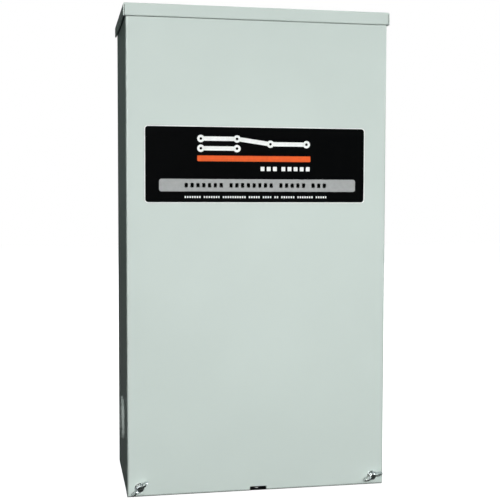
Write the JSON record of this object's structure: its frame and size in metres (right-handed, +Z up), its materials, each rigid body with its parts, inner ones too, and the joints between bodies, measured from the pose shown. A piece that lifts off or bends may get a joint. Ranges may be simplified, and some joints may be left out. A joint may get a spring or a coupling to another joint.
{
  "type": "automatic transfer switch",
  "caption": "Wall-hung rainproof steel cabinet with a hooded lift-off cover, holding a service breaker and a coil-driven two-pole transfer mechanism.",
  "frame": {"origin": "centre of the cabinet's back face, on the wall", "axes": "+X to the viewer's right, +Y into the wall, +Z up; the front cover faces -Y"},
  "size_m": [0.349, 0.1928, 0.63],
  "materials": {
    "cabinet_paint": "satin textured powder coat",
    "nameplate_black": "gloss printed",
    "gasket_foam": "matte foam",
    "zinc_hardware": "zinc plated",
    "galvanised_sheet": "galvanised",
    "black_moulding": "matte moulded",
    "red_moulding": "moulded thermoset",
    "clear_plastic": "clear polycarbonate",
    "aluminium_lug": "bare machined",
    "copper_bar": "bare copper",
    "silver_contact": "silver faced",
    "arc_chute_fibre": "fibre and steel",
    "steel_linkage": "plated steel",
    "coil_tape": "wound and taped",
    "grip_red": "moulded",
    "white_moulding": "matte moulded",
    "brass_clip": "spring brass",
    "fuse_body": "fibre tube"
  },
  "bodies": {
    "cabinet": {"base_screws": "zinc_hardware", "bonding_strap": "copper_bar", "breaker_case": "black_moulding", "clip_nuts": "zinc_hardware", "coil_bracket": "galvanised_sheet", "coil_frames": "galvanised_sheet", "control_fuses": "fuse_body", "enclosure_box": "cabinet_paint", "fixed_contact_pads": "silver_contact", "fuse_block": "black_moulding", "fuse_clips": "brass_clip", "generator_arc_chutes": "arc_chute_fibre", "generator_bus_bars": "copper_bar", "generator_coil": "coil_tape", "ground_bar": "aluminium_lug", "ground_bar_screws": "zinc_hardware", "left_side_frame": "steel_linkage", "limit_switches": "black_moulding", "line_lug_guard": "clear_plastic", "load_braids": "copper_bar", "load_bus_bars": "copper_bar", "lug_set_screws": "zinc_hardware", "mounting_panel": "galvanised_sheet", "neutral_bar": "aluminium_lug", "neutral_base": "white_moulding", "neutral_screws": "zinc_hardware", "panel_nuts": "zinc_hardware", "panel_studs": "zinc_hardware", "phase_barrier": "red_moulding", "rain_hood": "cabinet_paint", "relay_coil": "coil_tape", "relay_cover": "clear_plastic", "relay_socket": "black_moulding", "right_side_frame": "steel_linkage", "switch_base": "red_moulding", "terminal_lugs": "aluminium_lug", "terminal_screws": "zinc_hardware", "terminal_strip": "black_moulding", "utility_arc_chutes": "arc_chute_fibre", "utility_bus_bars": "copper_bar", "utility_coil": "coil_tape"},
    "front_cover": {"front_cover": "cabinet_paint", "cover_gasket": "gasket_foam", "nameplate": "nameplate_black"},
    "wing_screw_left": {"wing_screw_left": "zinc_hardware"},
    "wing_screw_right": {"wing_screw_right": "zinc_hardware"},
    "breaker_handle": {"breaker_handle": "black_moulding"},
    "transfer_shaft": {"transfer_shaft": "red_moulding", "contact_arms": "copper_bar", "moving_contact_pads": "silver_contact", "shaft_crank": "steel_linkage", "switch_cam": "grip_red", "hand_lever": "steel_linkage", "lever_grip": "grip_red"},
    "plunger_assembly": {"plunger_yoke": "steel_linkage", "utility_plunger": "steel_linkage", "generator_plunger": "steel_linkage"},
    "utility_switch_lever": {"utility_switch_lever": "steel_linkage"},
    "generator_switch_lever": {"generator_switch_lever": "steel_linkage"},
    "relay_armature": {"relay_armature": "steel_linkage"}
  },
  "joints": [
    {"name": "cover_swing", "type": "hinge", "parent": "cabinet", "child": "front_cover", "pos_m": [0, -0.1803, 0.3008], "axis": [-1, 0, 0], "range_deg": [0, 90]},
    {"name": "wing_screw_left_turn", "type": "hinge", "parent": "front_cover", "child": "wing_screw_left", "pos_m": [-0.156, -0.181, -0.3025], "axis": [0, 1, 0], "continuous": true},
    {"name": "wing_screw_right_turn", "type": "hinge", "parent": "front_cover", "child": "wing_screw_right", "pos_m": [0.156, -0.181, -0.3025], "axis": [0, 1, 0], "continuous": true},
    {"name": "breaker_handle_toggle", "type": "hinge", "parent": "cabinet", "child": "breaker_handle", "pos_m": [-0.025, -0.072, 0.15], "axis": [1, 0, 0], "range_deg": [0, 40], "stiffness_Nm_per_rad": 0.1, "springref_deg": -11.46},
    {"name": "transfer_turn", "type": "hinge", "parent": "cabinet", "child": "transfer_shaft", "pos_m": [0, -0.095, -0.04], "axis": [-1, 0, 0], "range_deg": [0, 40]},
    {"name": "plunger_slide", "type": "slide", "parent": "cabinet", "child": "plunger_assembly", "axis": [0, 0, -1], "range_m": [0, 0.0164], "stiffness_N_per_m": 600, "springref_m": -0.01},
    {"name": "utility_switch_lever_turn", "type": "hinge", "parent": "cabinet", "child": "utility_switch_lever", "pos_m": [0.065, -0.052, -0.0271], "axis": [1, 0, 0], "range_deg": [0, 8]},
    {"name": "generator_switch_lever_turn", "type": "hinge", "parent": "cabinet", "child": "generator_switch_lever", "pos_m": [0.065, -0.052, -0.0529], "axis": [1, 0, 0], "range_deg": [0, 8]},
    {"name": "relay_armature_pull_in", "type": "hinge", "parent": "cabinet", "child": "relay_armature", "pos_m": [0.12, -0.065, 0.164], "axis": [1, 0, 0], "range_deg": [0, 4], "stiffness_Nm_per_rad": 0.02, "springref_deg": -17.19}
  ],
  "couplings": [
    {"joint": "transfer_turn", "follows": "plunger_slide", "rad_per_m": 42.525},
    {"joint": "utility_switch_lever_turn", "follows": "plunger_slide", "rad_per_m": 8.505},
    {"joint": "generator_switch_lever_turn", "follows": "plunger_slide", "rad_per_m": 8.505}
  ]
}
